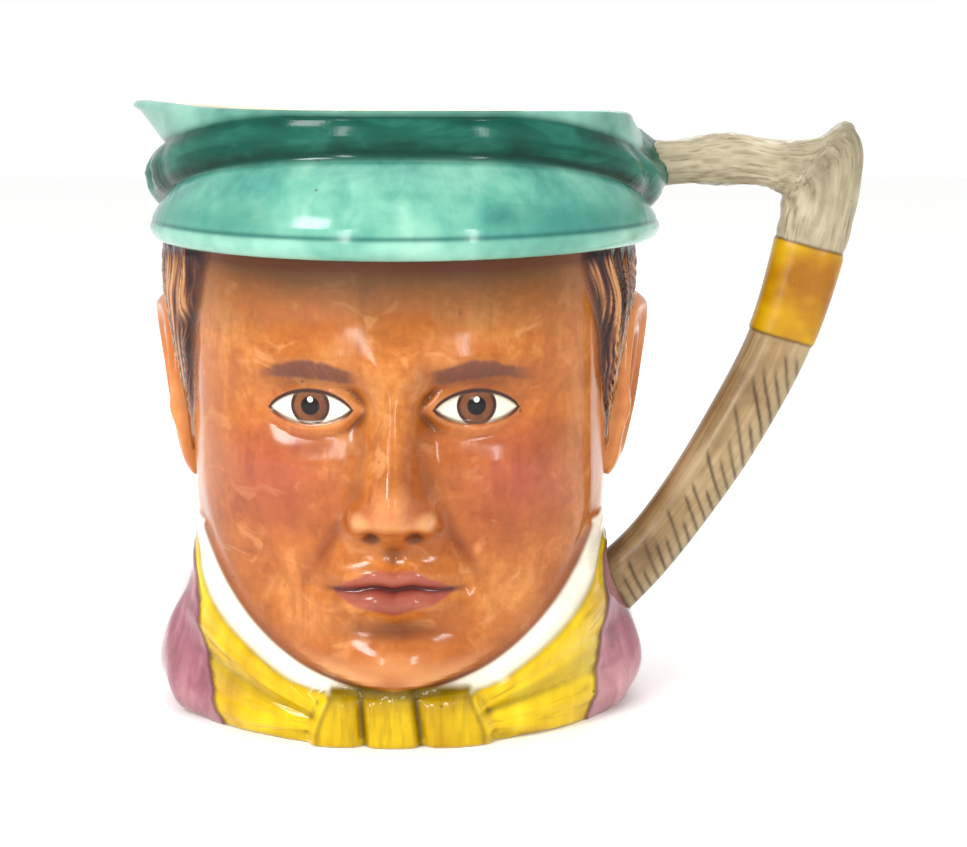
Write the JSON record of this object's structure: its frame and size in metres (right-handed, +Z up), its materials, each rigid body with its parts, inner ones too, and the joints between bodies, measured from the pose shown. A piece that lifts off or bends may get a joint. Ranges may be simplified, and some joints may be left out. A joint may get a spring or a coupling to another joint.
{
  "type": "character jug",
  "caption": "Hollow glazed pottery jug shaped as a man's head in a peaked cap, with neckerchief and coat, and a riding-crop handle.",
  "frame": {"origin": "under the middle of the whole outline, handle included, on the surface the jug stands on", "axes": "+Z up; the face looks along -Y; the handle stands out towards +X"},
  "size_m": [0.2072, 0.1522, 0.1724],
  "materials": {
    "pottery": "hand-painted under a glossy clear glaze"
  },
  "bodies": {
    "root": {"jug": "pottery"}
  },
  "joints": []
}
